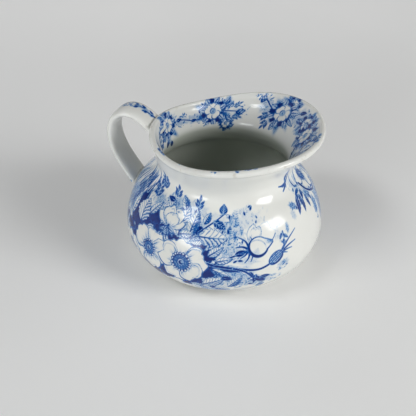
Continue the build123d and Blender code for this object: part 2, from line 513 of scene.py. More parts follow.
def grass(plate, theta, height, wide, tall, count, heading, length, width, tone, inked=0.2):
    """A field of upright curved strokes."""
    for _ in range(count):
        spot = (theta + rng.uniform(-wide, wide), height + rng.uniform(-tall, tall))
        facing = heading + rng.normal(0, 7)
        reach = length * rng.uniform(0.6, 1.25)
        thick = width * rng.uniform(0.7, 1.2)
        pale = 0.0 if rng.uniform() < inked else tone * rng.uniform(0.5, 1.2)
        feather(plate, *spot, facing, reach, thick, rng.uniform(-0.08, 0.14), min(pale, 0.95))


def fern(plate, theta, height, heading, length, leaflets, size, tone):
    """A feathery frond in half tone: short leaflets either side of a thin stem."""
    for k in range(leaflets):
        share = (k + 0.5) / leaflets
        reach = size * (1.15 - 0.75 * share)
        for side in (-1, 1):
            spot = plate.ahead(theta, height, heading, share * length, side * reach * 0.5)
            pick, u, v = plate.near(*spot, reach)
            if not u.size:
                continue
            along, across = turned(u, v, heading + side * rng.uniform(42, 60))
            blade = leaf_shape(along + reach / 2, across, reach, reach * 0.22, 0)
            plate.tint(pick, tone * rng.uniform(0.7, 1.2) * soft(blade + 0.05, 0.4))
    tip = plate.ahead(theta, height, heading, length)
    stroke(plate, [(theta, height), tip], 0.5, 0.4, 0.0, tone, tone)


def bud(plate, theta, height, heading, size):
    """A closed bud with a dark calyx and spreading sepals."""
    pick, x, y = plate.near(theta, height, size * 1.6)
    along, across = turned(x, y, heading)
    inside = leaf_shape(along + size * 0.7, across, size * 1.5, size * 0.42, 0)
    seams = np.minimum(0.2 - np.abs(across - 0.16 * size * np.sin(along * 3.2 / size)), inside - 0.2)
    plate.lay(pick, inside + 0.2, np.maximum(0.25 - np.abs(inside), seams), 0.55)
    calyx = np.minimum(inside, -(along + size * 0.1) + 0.25 * np.abs(across))
    plate.lay(pick, calyx, calyx, 0.0)
    base = plate.ahead(theta, height, heading, -0.35 * size)
    for swing in (-38, 34):
        feather(plate, *base, heading + swing, size * 0.9, 0.6)


def rosebud_open(plate, theta, height, size):
    """A swelling bud on its side: pale back petals, a round front with a heavy lower edge, and sepals."""
    back = plate.step(theta, height, -0.75 * size, 0.1 * size)
    for heading, length, width, tone, firm in ((34, 2.9, 1.05, 0.30, 0.38), (70, 2.2, 0.72, 0.45, 0.60)):
        petal(plate, *back, heading, size * length, size * width, tone, 0.20, 0.03, 0.0, firm)
    for heading, reach, thick, bow in (
        (166, 1.30, 1.2, -0.15), (128, 1.65, 1.1, -0.18), (196, 1.0, 1.1, 0.1), (78, 1.25, 0.8, -0.2),
        (222, 1.15, 1.0, 0.1), (250, 1.35, 1.1, 0.15), (275, 1.25, 1.0, 0.2),
    ):
        spot = plate.step(theta, height, -0.95 * size, -0.1 * size)
        feather(plate, *spot, heading, size * reach, thick, bow)
    pick, x, y = plate.near(theta, height, size * 2.6)
    round_part = size - np.hypot(x, y)
    along, across = turned(x, y, 4)
    nose_half = 0.92 * size * (1 - np.clip((along - 0.1 * size) / (1.55 * size), 0, 1) ** 1.25)
    nose = (nose_half - np.abs(across - 0.10 * along)) * 0.8
    nose = np.where((along > 0) & (along < 1.65 * size), nose, -1)
    inside = np.maximum(round_part, nose)
    turn = np.degrees(np.arctan2(y, x))
    low_left = 0.5 + 0.5 * np.cos(np.radians(turn + 118))
    heavy = 0.16 + 0.62 * low_left**1.4
    drawn = heavy - np.abs(inside - heavy + 0.25)
    tip_shade = 0.55 * ramp(along / size, 0.55, 1.3) * ramp(across / size, -0.15, 0.25)
    fold = soft(0.25 - np.abs(np.hypot(x + 0.2 * size, y + 0.25 * size) - 0.98 * size), 0.6)
    fold = 0.5 * fold * ramp(across / size, -0.6, 0.3)
    wash = np.clip(0.06 + tip_shade + fold + 0.25 * ramp(low_left, 0.8, 1.0), 0, 0.8)
    plate.lay(pick, inside + 0.35, drawn, wash)


def hip(plate, theta, height, heading, size):
    """A rose hip: an oval in half tone with long sepals at its crown."""
    crown = plate.ahead(theta, height, heading, 0.7 * size)
    for swing, reach, thick in (
        (-12, 2.5, 1.0), (6, 3.4, 0.9), (-26, 1.7, 0.9), (-44, 1.0, 0.8), (18, 1.6, 0.7),
    ):
        feather(plate, *crown, heading + swing, size * reach, thick, 0.06)
    pick, x, y = plate.near(theta, height, size * 1.5)
    along, across = turned(x, y, heading)
    inside = (1 - np.hypot(along / size, across / (size * 0.66))) * size * 0.66
    low_side = 0.20 + 0.32 * ramp(-across / size, 0.0, 0.6)
    stripes = np.cos((across + 0.12 * along * along / size) * 2 * math.pi / 1.1)
    drawn = low_side - np.abs(inside - low_side * 0.5)
    plate.lay(pick, inside + 0.25, drawn, np.clip(0.66 + 0.22 * stripes, 0, 1))


def each(motif, plate, rows, *shared):
    """Draws a motif once for every row of its values, with the values that all of them share at the end."""
    for row in rows:
        motif(plate, *row, *shared)


# ---- The jug's body: one dense shell with the print's fields on its points
COLUMNS = 1000
PRINT_STEP = 0.36           # millimetres between points where there is print
PRINT_BELOW = 17            # how far the print runs below the widest circle
PRINT_INSIDE = 26           # how far it runs down inside the lip

angle_deg = -180 + 360 * np.arange(COLUMNS) / COLUMNS
angle = np.radians(angle_deg)
knots = knots_of(stations(angle))
print_start, print_end = knots[WIDEST] - PRINT_BELOW, knots[LIP_TOP] + PRINT_INSIDE
steps = [
    (knots[0], knots[FOOT_STATIONS - 1], 0.6),
    (knots[FOOT_STATIONS - 1], print_start, 0.9),
    (print_start, knots[THROAT], PRINT_STEP),
    (knots[THROAT], knots[LIP_OUTSIDE], 0.5),
    (knots[LIP_OUTSIDE], knots[LIP_TOP], 0.4),
    (knots[LIP_TOP], print_end, PRINT_STEP),
    (print_end, knots[-1], 1.5),
]
marks = [np.linspace(a, b, max(2, round((b - a) / step)), endpoint=False) for a, b, step in steps]
marks = np.append(np.concatenate(marks), knots[-1])
radius, height = wall_grid(angle, marks)
paces = np.hypot(np.diff(radius, axis=0), np.diff(height, axis=0))
along = np.concatenate([np.zeros((1, COLUMNS)), np.cumsum(paces, 0)])


def row_at(mark):
    return int(np.argmin(np.abs(marks - mark)))


widest_row, top_row = row_at(knots[WIDEST]), row_at(knots[LIP_TOP])
outer_rows, inner_rows = slice(row_at(print_start), top_row), slice(top_row, row_at(print_end))


def make_plate(rows, zero_row, mirror):
    """The print on some of the shell's rows. mirror is -1 where it is looked at from the jug's axis."""
    return Plate(angle_deg, mirror * (along[rows] - along[zero_row]), np.radians(radius[rows]), mirror)


outside = make_plate(outer_rows, widest_row, 1)
inside = make_plate(inner_rows, top_row, -1)


def main_spray(plate):
    """The large spray of wild roses that runs round each side of the belly."""
    # pale half tone behind everything
    each(cloud, plate, (
        (-72, 23, 8, 8, 0.3), (-79, 30, 6, 5, 0.25), (-60, 29, 8, 6, 0.24), (-71, 14, 8, 6, 0.36),
        (-68, 1, 12, 7, 0.42), (-57, -4, 8, 4, 0.42), (-84, -12, 7, 3, 0.35), (-45, 20, 4, 6, 0.22),
        (-150, 22, 7, 15, 0.6), (-162, 14, 9, 15, 0.6), (-172, 16, 8, 16, 0.5), (-131, 34, 5, 6, 0.24),
        (-112, 32, 6, 6, 0.5), (-94, 33, 6, 6, 0.32), (-88, 26, 5, 5, 0.4), (-42, 3, 4, 3, 0.4),
        (-155, 2, 8, 9, 0.5), (-63, 9, 8, 3, 0.32), (-98, 35, 8, 4, 0.28), (-124, 30, 5, 6, 0.45),
    ))
    each(foliage, plate, (
        (-72, 17, 7, 7, 90, 66, 0.62), (-71, 25, 6, 7, 80, 74, 0.6), (-77, 25, 4, 5, 30, 80, 0.6),
        (-61, 28, 8, 6, 60, 84, 0.4), (-62, 20, 5, 5, 30, 70, 0.45), (-64, 12, 8, 4, 40, 30, 0.55),
        (-62, 34, 5, 3, 24, 60, 0.36), (-50, 29, 5, 5, 26, 60, 0.32), (-69, -3, 9, 6, 110, 20, 0.66),
        (-58, -4, 7, 4, 60, 8, 0.62), (-72, 3, 7, 4, 60, -10, 0.62), (-43, 2, 4, 3, 28, 20, 0.6),
        (-112, 33, 6, 5, 50, 90, 0.6), (-131, 34, 4, 6, 14, 95, 0.42), (-86, 30, 4, 4, 24, 80, 0.5),
        (-48, -5, 5, 3, 24, 10, 0.55), (-42, 18, 3, 6, 20, 80, 0.42), (-84, -12, 8, 2.5, 50, 0, 0.66),
        (-97, 33, 6, 5, 50, 84, 0.42), (-74, 21, 3, 10, 50, 60, 0.66), (-123, 29, 6, 6, 50, 90, 0.66),
        (-99, 22, 9, 6, 60, 80, 0.75), (-106, 31, 7, 5, 50, 80, 0.7), (-82, 8, 6, 5, 40, 30, 0.7),
    ))
    # tall grass beside the handle
    each(grass, plate, (
        (-162, 14, 16, 18, 120, 86, 10, 0.9, 0.7, 0.18), (-150, 24, 6, 12, 60, 84, 7.5, 0.9, 0.75, 0.5),
        (-140, 31, 6, 7, 34, 88, 5.5, 0.8, 0.65, 0.4), (-158, -6, 12, 7, 40, 92, 8.5, 0.9, 0.7, 0.2),
        (178, 30, 9, 8, 30, 82, 8, 0.8, 0.6, 0.15),
    ))
    # dark ground
    each(ground, plate, (
        (-140, 19, 9, 4.2, 84), (-134, 13.5, 4, 5, 0), (-126, 18, 5.5, 6, 40), (-113, 16.5, 6, 5, 0),
        (-121, 23, 4, 4.6, 60), (-104, 14.5, 5.5, 4.2, 0), (-83, 12, 3.2, 3.2, 70), (-92, -4, 6.5, 5, 20),
        (-107, -3, 5.5, 6, 0), (-85, 3.5, 6.5, 4.6, 0), (-124, 14, 6, 5, 0), (-97, 22, 4.6, 3.4, 10),
        (-90, 15.5, 4, 3.2, 0), (-77, 5.8, 9.5, 1.8, -8), (-137, 6, 4, 7, 80), (-118, -8, 7, 4, 0),
        (-145, 8, 2, 9, 90), (-80, -3, 4, 3, 30), (-133, -8, 5, 4, 60), (-84.5, -7, 5, 3, -20),
        (-104.5, 29, 3.2, 3, 60), (-91.5, 24, 2.2, 3.8, 80),
    ))
    # stems
    each(stroke, plate, (
        ([(-84.5, 7.6), (-78, 6.6), (-67, 5), (-55, 3.6), (-50, 5.2)], 1.2, 0.85, 0.35),
        ([(-70, 5.4), (-63, 2.4), (-60, -1), (-56.5, -3.6)], 1, 0.7, 0.3),
        ([(-80, 7.6), (-74, 10.6), (-68, 12.6), (-62, 14.4)], 0.8, 0.9, 0.25),
        ([(-86, -9), (-77, -12.2), (-68, -12.6), (-58, -11.4)], 0.9, 0.6, 0.2),
        ([(-90, 22.5), (-84, 27), (-80, 29.6), (-75.5, 32.6)], 0.75, 0.7, 0.2),
    ))
    # leaves round the flowers
    each(leaf, plate, (
        (-132, 21.6, 94, 12.6, 6, 6, 0.4, 0, 0.5), (-143.5, 19.5, 84, 13, 2.2, 0),
        (-123.5, 26.5, 66, 9.5, 2.4, 6), (-122, 15.8, 40, 5.6, 2, 5), (-148, 6, 96, 10, 1.6, 0),
        (-101, 26.5, 84, 15.5, 4, 8, 0.45), (-94, 27, 80, 12, 3.4, 7, 0.5, 1),
        (-90.5, 18.5, 196, 7.5, 2.4, 6, 0.4), (-97, 20.6, 12, 7, 2.3, 5), (-81.5, 20.8, 0, 14, 5.2, 6, 0.4),
        (-114.5, 14.6, 250, 5.5, 1.4, 0, 0.15), (-109, 14.8, 300, 6, 1.3, 0, 0.15),
        (-111, 18, 330, 5, 1.2, 0, 0.15), (-117.5, 13.5, 236, 4.6, 1.1, 0, 0.15),
        (-79.5, 14.2, 36, 8.5, 2.4, 6), (-75, 9.8, 12, 8.5, 1.9, 5),
        (-76.5, 2.6, -24, 10.5, 1.8, 0, 0.5, 1), (-80.5, -3.4, 28, 12, 3.7, 7, 0.4),
        (-89, -8.2, 160, 7.5, 2.8, 6), (-84, -9.5, -34, 7.5, 2.4, 6), (-76, -9.8, -14, 8.5, 2.3, 6, 0.5, 1),
        (-69, -3, 52, 10.5, 3, 7, 0.55, 1), (-104, 35.2, 118, 7, 2.2, 5, 0.5, 1),
        (-113.5, 30.5, 74, 8.5, 3.2, 6, 0.55, 1),
    ))
    # flowers
    bloom(plate, -109.5, 24.4, 6.6, 86)
    each(rose, plate, (
        (-139, -4.5, 10, 40, 1, False, 0.42, 0.06), (-119.8, 5, 12.6, 74, 1, False, 0.37, 0.07),
        (-98, 5.4, 12.6, 98, 1.04, False, 0.44, 0.07),
    ))
    # leaves, bud and hip on the stems to the right
    each(dark_leaf, plate, (
        (-66, 13.4, 16, 6.4, 1.5), (-58.6, -2.4, 262, 6.4, 1.3), (-55.5, -3.4, -38, 7.5, 1.6),
        (-53, -1.8, -2, 6, 1.1), (-60.5, 0.6, 300, 5, 1), (-54.8, -9, 24, 4.8, 1.8),
        (-73.5, -0.5, 350, 6, 1.4),
    ))
    hip(plate, -46.5, 7.4, 30, 4.4)
    rosebud_open(plate, -56.2, 15.2, 5.1)
    # light sprigs along the top
    small_sprig(plate, -112.5, 36.5, 92, 4, 2, 2.6)
    dark_leaf(plate, -116, 34.5, 170, 5, 1.3)
    each(small_sprig, plate, (
        (-93.5, 34, 88, 4.6, 2, 2.4), (-126.5, 37.5, 118, 6, 3, 2.6, 0.3), (-130, 31, 106, 7, 3, 2.8),
    ))
    each(dark_leaf, plate, ((-75.8, 35, 84, 5.2, 1.9), (-78, 27.2, -30, 7.2, 2.2, 5)))
    leaf(plate, -86, 30, 70, 6, 1.8, 5, 0.5, 1)
    stroke(plate, [(-78, 32), (-73, 32.6), (-70, 28.5)], 0.5, 0.5, 0.1, 0.3, 0.8)
    small_sprig(plate, -40, 19.5, 268, 5, 1, 2.4, 0.3)
    each(fern, plate, (
        (-70, 27, 74, 8, 7, 3, 0.55), (-64, 32, 40, 7, 6, 2.6, 0.35), (-66, 22, 96, 9, 8, 2.6, 0.42),
    ))


def end_spray(plate):
    """The loose drooping sprigs at the pouring lip's side, where one large spray meets the next."""
    each(cloud, plate, (
        (-25, 28, 3, 3, 0.6), (-28, 24, 2, 4, 0.35), (-36, 20, 1.6, 3.5, 0.5), (-2, 18, 3, 8, 0.6),
        (6, 24, 4, 8, 0.5), (8, 14, 4, 8, 0.4), (22, 18, 6, 6, 0.4), (-12, 36, 4, 6, 0.3),
        (-4, 27, 4, 4, 0.6),
    ))
    each(foliage, plate, (
        (12, 22, 5, 8, 30, 260, 0.7, 2.8), (-3, 17, 2.5, 8, 30, 80, 0.75),
        (-14, 36, 3, 6, 20, 250, 0.55, 2.2), (-25, 28, 2.6, 2.6, 14, 60, 0.7, 2.2),
    ))
    # a hanging bud
    stroke(plate, [(-16, 54), (-18, 51), (-19, 48)], 1, 0.9, 0.15)
    leaf(plate, -18.6, 44.2, 268, 9.5, 1.7, 0, 0.95, 1)
    stroke(plate, [(-16.4, 45.5), (-16.2, 42), (-19.5, 39.4)], 0.9, 0.8, 0.1)
    for heading, reach, thick in ((178, 5.6, 1.3), (222, 4.8, 1.3), (200, 3.2, 1.1), (262, 2.4, 1.1)):
        feather(plate, -19.6, 39.8, heading, reach, thick)
    # a cluster of drooping leaves under a flower seen from behind
    rose(plate, 9, 33.5, 9.4, 84, 1.1, False, 0.4, 0.12)
    stroke(plate, [(-3.5, 33), (-2, 28.2), (3, 24.4), (9, 22.6), (14, 22.8)], 1.3, 0.7, 0.3)
    for theta, up, heading, length in (
        (-9.5, 34, 164, 3.6), (-13, 31.8, 196, 5.6), (-17.5, 29.4, 208, 6), (-10.5, 29, 232, 6),
        (-20, 26, 242, 9.5), (-15, 27.6, 236, 6), (-15, 24.4, 254, 7.5), (-8.5, 25.6, 262, 5),
        (-9, 23.4, 272, 6.5), (-4, 24, 276, 5),
    ):
        dark_leaf(plate, theta, up, heading, length, length * 0.17, 5)
    each(leaf, plate, ((12, 14.5, 262, 9, 2.6, 6), (21, 13.5, 280, 9, 2.8, 6, 0.6, 1)))
    each(small_sprig, plate, ((9, 44, 120, 5, 3, 2.5), (20, 42, 84, 6, 3, 2.5)))
    grass(plate, 26, 10, 5, 4, 12, 84, 9, 0.7, 0.7)


def border_rose(plate, theta, up, size, tilt):
    """A small rose of the border on a dark patch of leaves, with more leaves round it."""
    cloud(plate, theta, up, size * 2.0, size * 1.9, 0.8, 0.4)
    foliage(plate, theta, up, size * 1.9, size * 1.7, 26, tilt, 0.85, 2.0, 0.10, 60)
    for k in range(7):
        heading = tilt + 51 * k + 14 * math.sin(k * 1.7)
        ground(plate, *plate.ahead(theta, up, heading, size * 0.92), size * 0.62, size * 0.50, heading)
    for k in range(7):
        heading = tilt + 51.5 * k + 24
        spot = plate.ahead(theta, up, heading, size * 1.36)
        leaf(plate, *spot, heading + 20 * math.sin(k * 3), size * 0.80, size * 0.26, 0, 0.2)
    rose(plate, theta, up, size, tilt, 1.0, True)


def border_spray(plate):
    """One repeat of the border inside the lip: clusters of small roses joined by trailing stems."""
    # spray that trails from the handle's side
    each(cloud, plate, (
        (172, -10, 6, 8, 0.45), (152, -9, 8, 3.5, 0.4), (136, -9.5, 8, 3, 0.4), (112, -10, 9, 7, 0.4),
        (93, -11, 6, 3, 0.3),
    ))
    stroke(plate, [(163, -8.5), (150, -8.6), (138, -10.6), (124, -9.4)], 0.6, 0.7, 0.15)
    for theta, up, heading in (
        (157, -6.2, 30), (156, -10.6, -30), (149, -6.4, 40), (148, -10.8, -24), (141, -8.2, 30),
        (140, -12.4, -34), (133, -8, 32), (132, -12.2, -30), (126, -7.2, 36), (160, -4.6, 62),
        (151, -12.6, -60), (145, -6, 64),
    ):
        foliage(plate, theta, up, 2, 1.6, 7, heading, 0.75, 1.8, 0, 40)
    each(dark_leaf, plate, ((153.5, -8, 5, 4.4, 1.2, 4), (136.5, -10.4, 8, 4, 1, 4)))
    border_rose(plate, 170.5, -7.8, 4.6, 84)
    each(leaf, plate, (
        (179.5, -5, 160, 3.6, 1.5, 4), (179, -13.5, 240, 3.8, 1.5, 4), (172.5, -16.5, 262, 4.6, 1.8, 4),
    ))
    each(dark_leaf, plate, ((176, -18, 230, 4.2, 1.5, 4), (168, -19.5, 286, 4.4, 1.5, 4)))
    # cluster of roses
    border_rose(plate, 104.5, -16.2, 2.6, 40)
    foliage(plate, 104, -5, 5, 4, 30, 60, 0.85, 2.2, 0.12, 50)
    each(ground, plate, ((106.5, -6, 3.4, 1.8), (103.5, -4, 2.6, 1.5), (108.5, -12.5, 3, 2.2)), 50)
    for theta, up, heading, length in (
        (106.5, -4.6, 76, 4.4), (103, -3, 50, 4), (101.5, -5.8, 24, 3.8), (107.5, -13, 250, 4),
        (101.5, -14.6, 330, 3.4),
    ):
        leaf(plate, theta, up, heading, length, length * 0.3, 4)
    border_rose(plate, 116.5, -7.6, 4.9, 90)
    stroke(plate, [(108, -8.6), (101, -9.6), (95, -10.5)], 0.6, 0.7, 0.2)
    each(small_sprig, plate, ((98, -12.8, -20, 4, 3, 1.7), (97, -7.6, 24, 3.6, 2, 1.6)))
    each(foliage, plate, (
        (91, -14, 4.5, 1.6, 12, -10, 0.7, 1.7, 0.1), (88, -9, 3.5, 1.5, 9, 20, 0.7, 1.6, 0.1),
    ))
    bud(plate, 91.5, -11.2, 4, 3.5)
    each(small_sprig, plate, ((123, -12.5, 230, 3.4, 2, 1.8), (121.5, -5, 140, 3.2, 2, 1.8)))


def lip_spray(plate):
    """The second spray of the border, at the pouring lip. Its far end is left out at the handle."""
    last = 30 if plate.spin else -30
    clouds = (
        (70, -9, 6, 7, 0.4), (55, -13, 10, 8, 0.45), (36, -9, 8, 7, 0.4), (14, -10, 9, 8, 0.45),
        (4, -20, 5, 9, 0.35),
    )
    each(cloud, plate, [row for row in clouds if row[0] > last])
    stroke(plate, [(75, -2.6), (70, -6), (64, -9.8), (58, -11.5)], 0.75, 0.9, 0.2)
    bud(plate, 74.5, -4.4, 78, 3.4)
    for theta, up, heading in (
        (72, -1.2, 60), (78, -3, 120), (68, -5, 20), (71, -10, 200), (67, -13.2, 220), (70, -16.5, 210),
        (48, -4, 60), (60, -3.8, 110), (53, -3.2, 84), (36, -3.4, 50), (40, -14, -60), (30, -6, 20),
        (34, -13, -40), (24, -5, 40), (20, -3.8, 80), (8, -3.6, 60), (5, -8.2, 10), (10, -17, -70),
        (26, -15, 250), (2, -12, 0), (16, -18.4, 260), (-2, -6, 20),
    ):
        if theta > last:
            foliage(plate, theta, up, 2.2, 2.2, 8, heading, 0.75, 2, 0.08, 50)
    each(small_sprig, plate, ((66, -14, 200, 3.4, 2, 2.4), (64.5, -18, 230, 3.4, 2, 2.4)))
    leaf(plate, 57.5, -20, 240, 5, 1.8, 4)
    each(border_rose, plate, ((50, -4.8, 3.4, 60), (53.5, -11.4, 5.2, 80)))
    each(leaf, plate, ((42.5, -8.5, 20, 6.4, 2.1, 5), (41, -14, -24, 6, 2, 5)))
    each(dark_leaf, plate, ((36, -6, 34, 4.4, 1.6, 4), (33, -10.6, 4, 5.6, 1.9, 5)))
    if plate.spin:
        ground(plate, 5, -8.5, 2.6, 3.6, 80)
        border_rose(plate, 8.5, -11.5, 2.7, 60)
        leaf(plate, 5, -6.5, 100, 3.6, 1.4, 4)
        dark_leaf(plate, 12, -15, 240, 3.2, 1.2, 4)
        return
    each(border_rose, plate, ((24, -8.6, 3.9, 60), (12.5, -11.4, 4.9, 84)))
    each(leaf, plate, ((5, -6, 40, 4.4, 1.5, 4), (17.5, -19, 258, 5, 1.8, 5)))
    stroke(plate, [(12, -16), (8, -21), (6, -25)], 0.6, 0.6, 0.2)
    each(dark_leaf, plate, ((11, -18, 210), (9, -20, 330), (8, -22, 212), (6, -23.5, 320)), 3.6, 1, 4)


for outside.spin in (0, 180):
    main_spray(outside)
outside.spin = 0
end_spray(outside)
# ends of the border that ran onto the lip
for theta, up, size in (
    (-132, 58.3, 1.6), (-134, 57.6, 1.2), (-81, 65.4, 1.5), (-83, 65.2, 1), (-69, 67.2, 1.5),
    (-66.5, 67.7, 1.2), (-63.5, 68, 1), (-60, 68.2, 1.3),
):
    dark_leaf(outside, theta, up, 10 * theta, size, size * 0.36)
for inside.spin in (0, 180):
    border_spray(inside)
    lip_spray(inside)
inside.spin = 0

line = np.zeros(radius.shape)
wash = np.zeros(radius.shape)
line[outer_rows], wash[outer_rows] = outside.line, outside.wash
line[inner_rows], wash[inner_rows] = inside.line, inside.wash
# painted shade of the cavity: it starts above the throat and is full below it
cavity_shade_share = 1 - ramp(height, THROAT_Z - 16.0, THROAT_Z + 7.0)
cavity_shade_share[:top_row] = 0
# a narrow band of grime and painted shade just outside the lip's top
lip_dirt_and_shade_band = np.exp(-(((along - along[top_row] + 1.2) / 2.4) ** 2))

recess = FOOT_RADIUS - FOOT_RING_WIDTH
foot_rows = [
    (8.0, FOOT_RECESS), (18.0, FOOT_RECESS), (recess - RECESS_TAPER - 0.5, FOOT_RECESS),
    (recess - RECESS_TAPER - 0.05, FOOT_RECESS - 0.25), (recess - 0.12, 0.3), (recess + 0.25, 0.02),
    (recess + 1.6, 0.0),
]
floor_z = UNDERSIDE_Z + WALL
floor_rows = [(16.0, floor_z), (10.0, floor_z), (4.0, floor_z)]


def around(rows):
    """Radius and height of each row, all round."""
    return np.array(rows).T[:, :, None] * np.ones(COLUMNS)


all_r, all_z = np.concatenate([around(foot_rows), [radius, height], around(floor_rows)], 1)
shell = np.stack([all_r * np.cos(angle), all_r * np.sin(angle), all_z], -1).reshape(-1, 3)
points = np.vstack([shell, [[0, 0, FOOT_RECESS], [0, 0, floor_z]]])
faces = grid_faces(len(all_r), COLUMNS)
last = len(shell) - COLUMNS
for i in range(COLUMNS):
    j = (i + 1) % COLUMNS
    faces.append([len(shell), j, i])
    faces.append([len(shell) + 1, last + i, last + j])
body = mesh_object("porcelain_jug_body", points, faces)


def whole(field, before=0.0, after=0.0):
    """A field of the wall's grid, filled out to the whole shell."""
    start = np.full((len(foot_rows), COLUMNS), before)
    end = np.full((len(floor_rows), COLUMNS), after)
    return np.append(np.vstack([start, field, end]).ravel(), [before, after])


add_field(body, "line", whole(line))
add_field(body, "wash", whole(wash))
# inside: how much of the cavity's painted shade each point takes
add_field(body, "inside", whole(cavity_shade_share, 0.0, 1.0))
# lip: the band of grime and painted shade just outside the lip's top
add_field(body, "lip", whole(lip_dirt_and_shade_band))
foot_glaze = ramp(height, 0.15, 0.7)     # the foot ring is wiped clean of glaze
add_field(body, "glazed", whole(np.where(along < along[widest_row], foot_glaze, 1.0), 1.0, 1.0))

# ---- The strap handle
STRAP_AROUND = 96
STRAP_STEP = 0.4
SUNK = 1.3                  # how far the strap's ends run into the wall
PATCH_ANGLES = (140, 220)   # the part of the wall that the handle is seated on

line_points = np.array(HANDLE_LINE)
strap_knots = knots_of(line_points)
shares = np.linspace(0, 1, round(strap_knots[-1] / STRAP_STEP))
centre = spline(line_points, strap_knots, shares * strap_knots[-1])
tangent = np.gradient(centre, axis=0)
tangent /= np.linalg.norm(tangent, axis=1)[:, None]
normal = np.stack([tangent[:, 1], -tangent[:, 0]], 1)
strap_turn = math.tau * np.arange(STRAP_AROUND) / STRAP_AROUND


def squared(wave, power):
    """A wave whose peaks are broader for a lower power."""
    return np.sign(wave) * np.abs(wave) ** power


across = squared(np.cos(strap_turn), 0.62)
through = squared(np.sin(strap_turn), 0.86)
half_width = HANDLE_WIDTH / 2 * (1 + HANDLE_SPREAD * np.abs(2 * shares - 1) ** 3)
half_thickness = HANDLE_THICKNESS / 2
strap = np.empty((len(shares), STRAP_AROUND, 3))
strap[:, :, 0] = centre[:, :1] + normal[:, :1] * through * half_thickness
strap[:, :, 2] = centre[:, 1:] + normal[:, 1:] * through * half_thickness
strap[:, :, 1] = half_width[:, None] * across

# the wall near the handle, to seat the strap and its slip on
patch_angle = np.radians(np.linspace(*PATCH_ANGLES, 161))
patch_r, patch_z = wall_grid(patch_angle, np.linspace(knots[0], knots[LIP_TOP], 250))
patch = np.stack([patch_r * np.cos(patch_angle), patch_r * np.sin(patch_angle), patch_z], -1)
patch_rows, patch_columns = patch_r.shape
patch_starts = [r * patch_columns + c for r in range(patch_rows - 1) for c in range(patch_columns - 1)]
patch_faces = [[i, i + 1, i + patch_columns + 1, i + patch_columns] for i in patch_starts]
wall_tree = BVHTree.FromPolygons([Vector(p) for p in patch.reshape(-1, 3)], patch_faces)
outward = 1 if wall_tree.find_nearest(Vector((-80, 0, BELLY_Z)))[1].x < 0 else -1


def off_wall(point):
    """Nearest point of the wall's outside, its outward normal and the signed distance to it."""
    spot, facing, _, _ = wall_tree.find_nearest(Vector(point))
    facing = facing * outward
    return spot, facing, (Vector(point) - spot).dot(facing)


depth = np.array([[off_wall(p)[2] for p in row] for row in strap])
seated = strap.copy()
for i, j in zip(*np.where(depth < -SUNK)):
    spot, facing, _ = off_wall(strap[i, j])
    seated[i, j] = np.array(spot - facing * SUNK)
start_cap = list(range(STRAP_AROUND))
end_cap = [i + (len(shares) - 1) * STRAP_AROUND for i in reversed(start_cap)]
strap_faces = [start_cap, *grid_faces(len(shares), STRAP_AROUND), end_cap]
handle = mesh_object("porcelain_strap_handle", seated.reshape(-1, 3), strap_faces)
strap_length = knots_of(centre)


FAR = 99.0                  # millimetres: out of reach of every motif


class StrapPlate(Plate):
    """The print on the handle: x across it, y along it."""

    def near(self, theta, height, reach):
        x = self.across - theta
        y = self.along - height
        rows = np.flatnonzero(np.abs(y[:, 0]) < reach)
        pick = np.ix_(rows, np.arange(self.along.shape[1]))
        return pick, x[pick], y[pick]


ones = np.ones(depth.shape)
strap_plate = StrapPlate(strap[0, :, 1], strap_length[:, None] * ones, ones)
strap_plate.across = np.where(through > 0, strap[:, :, 1], FAR)     # only the outer face is printed

stroke(strap_plate, [(2.4, 8), (1.6, 13), (2.6, 18), (1.6, 24), (2.2, 30)], 0.7, 0.7, 0.1)
each(dark_leaf, strap_plate, (
    (1, 10, 110), (3.4, 11, 60), (0.2, 14, 120), (3.8, 15.5, 50), (0.6, 18.5, 130), (4.2, 19.5, 60),
    (0.4, 23, 115), (3.6, 24.5, 65), (1.2, 28, 110), (3.4, 29, 60), (2.2, 32, 88),
), 3.4, 0.8)
each(cloud, strap_plate, ((2.2, 15), (2, 25)), 3, 6, 0.45)
rose(strap_plate, 2.2, 21.5, 2.6, 90, 1.0, True)
for x, from_end, heading in (
    (3.5, 13, 80), (5, 9.5, 60), (2, 8.5, 120), (-4, 10, 100), (0, 12, 90), (-6.8, 9.5, 95),
    (-7.2, 6.8, 80), (-6.4, 13.5, 84),
):
    dark_leaf(strap_plate, x, strap_length[-1] - from_end, heading, 2.8, 0.9)
add_field(handle, "line", strap_plate.line)
add_field(handle, "wash", strap_plate.wash)
# the strap gets none of the cavity's painted shade, nor the lip band's grime and painted shade
for name, value in (("inside", 0.0), ("lip", 0.0), ("glazed", 1.0)):
    add_field(handle, name, np.full(strap_plate.line.shape, value))


